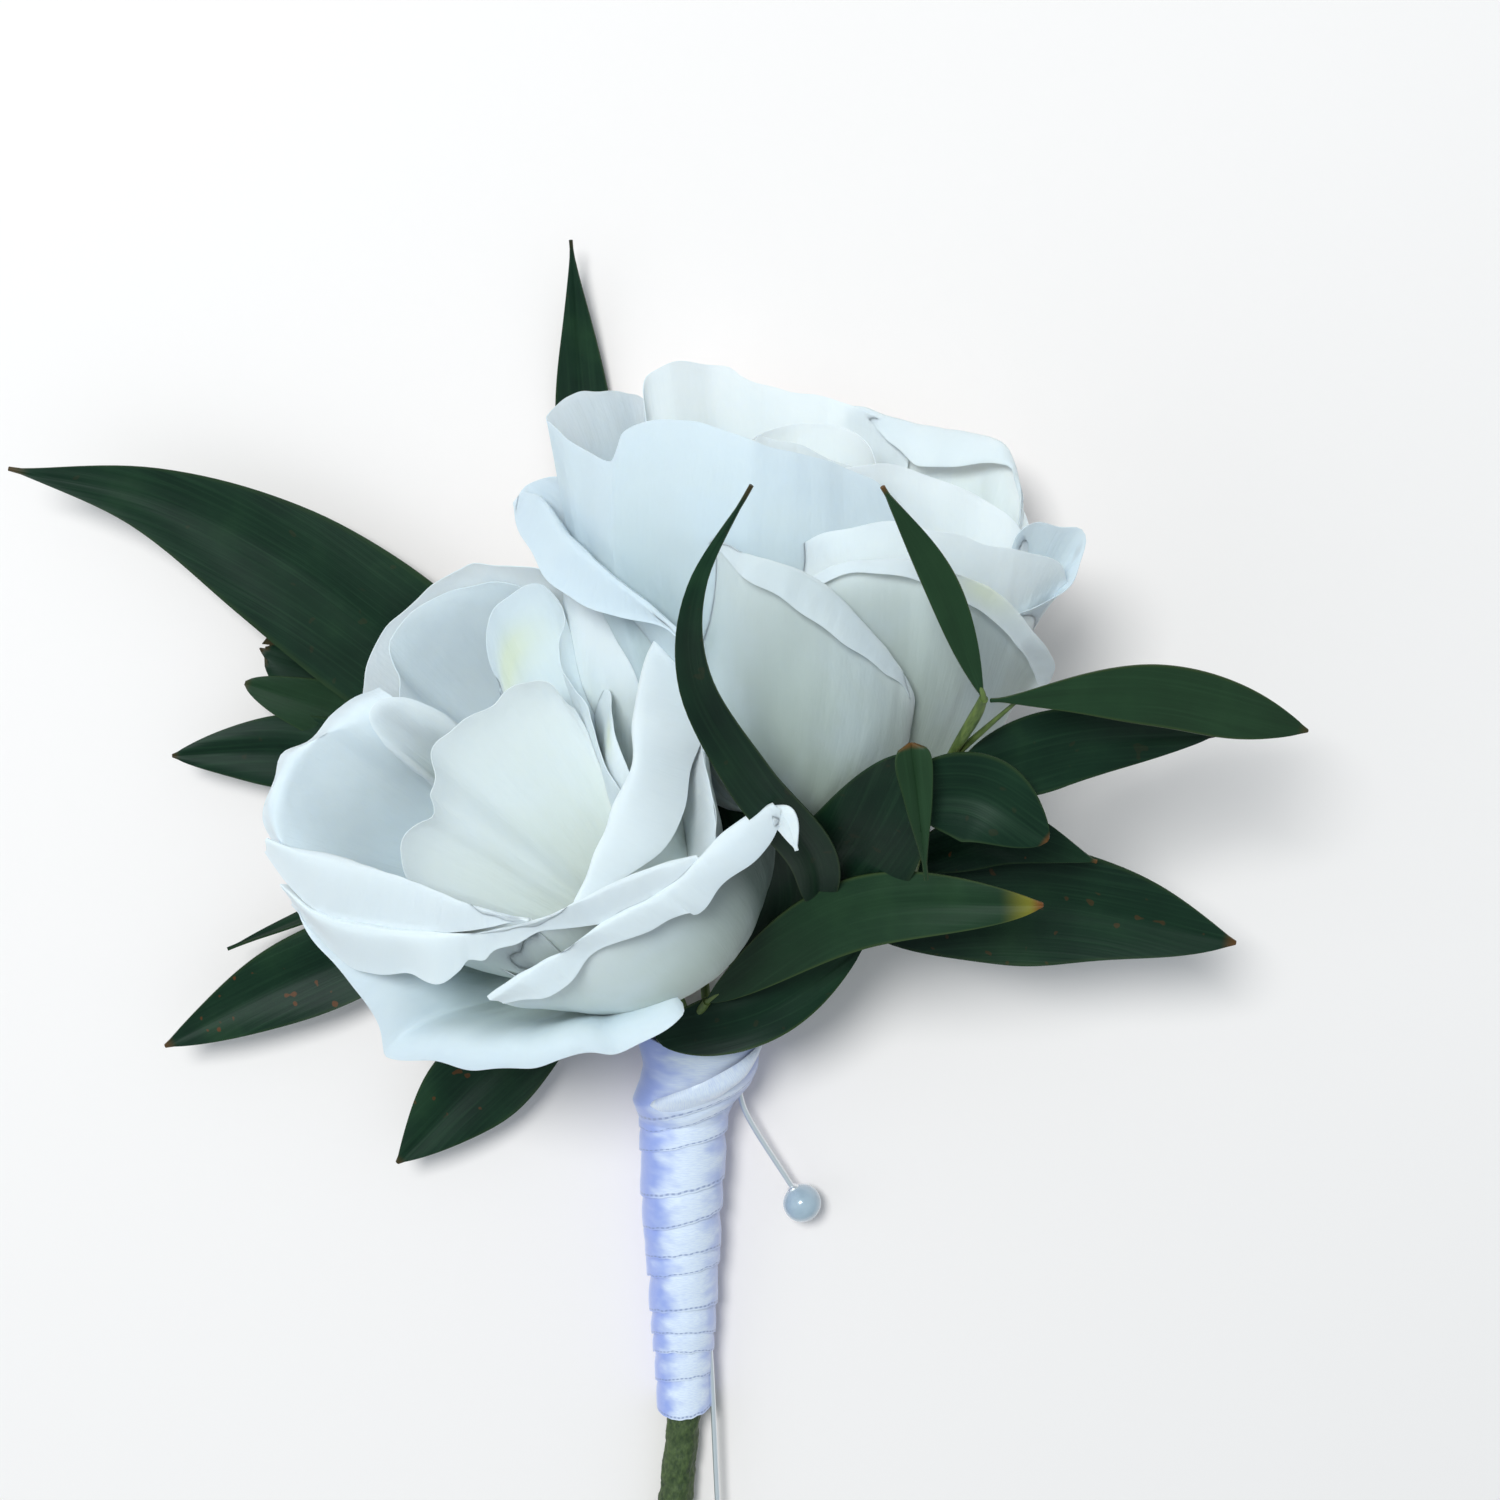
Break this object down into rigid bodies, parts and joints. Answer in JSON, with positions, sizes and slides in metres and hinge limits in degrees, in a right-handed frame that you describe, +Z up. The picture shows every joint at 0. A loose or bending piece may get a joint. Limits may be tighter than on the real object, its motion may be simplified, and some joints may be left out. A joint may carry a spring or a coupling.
{
  "type": "boutonniere",
  "caption": "Boutonniere of white roses and long dark leaves, with a satin-wound handle and pearl-headed pins, lying on its back.",
  "frame": {"origin": "on the flat back strip of the ribbon-wound handle, just below the handle's upper end", "axes": "+Y from the handle to the blooms, +Z up from the surface that it lies on to the blooms' faces, +X to the right seen from above"},
  "size_m": [0.1482, 0.1757, 0.0733],
  "materials": {
    "petal": "satin",
    "leaf": "satin",
    "stem": "matte",
    "tape": "matte",
    "ribbon": "satin",
    "steel": "polished",
    "pearl": "gloss"
  },
  "bodies": {
    "root": {"rose_left_petals": "petal", "rose_left_stem": "stem", "rose_right_petals": "petal", "rose_right_stem": "stem", "sprig_left": "leaf", "sprig_lower_left": "leaf", "sprig_top": "leaf", "sprig_centre": "leaf", "sprig_right": "leaf", "sprig_low_right": "leaf", "sprig_front": "leaf", "taped_stem": "tape", "ribbon_wrap": "ribbon", "pin_upper_shaft": "steel", "pin_upper_pearl": "pearl", "pin_lower_shaft": "steel", "pin_lower_pearl": "pearl"}
  },
  "joints": []
}
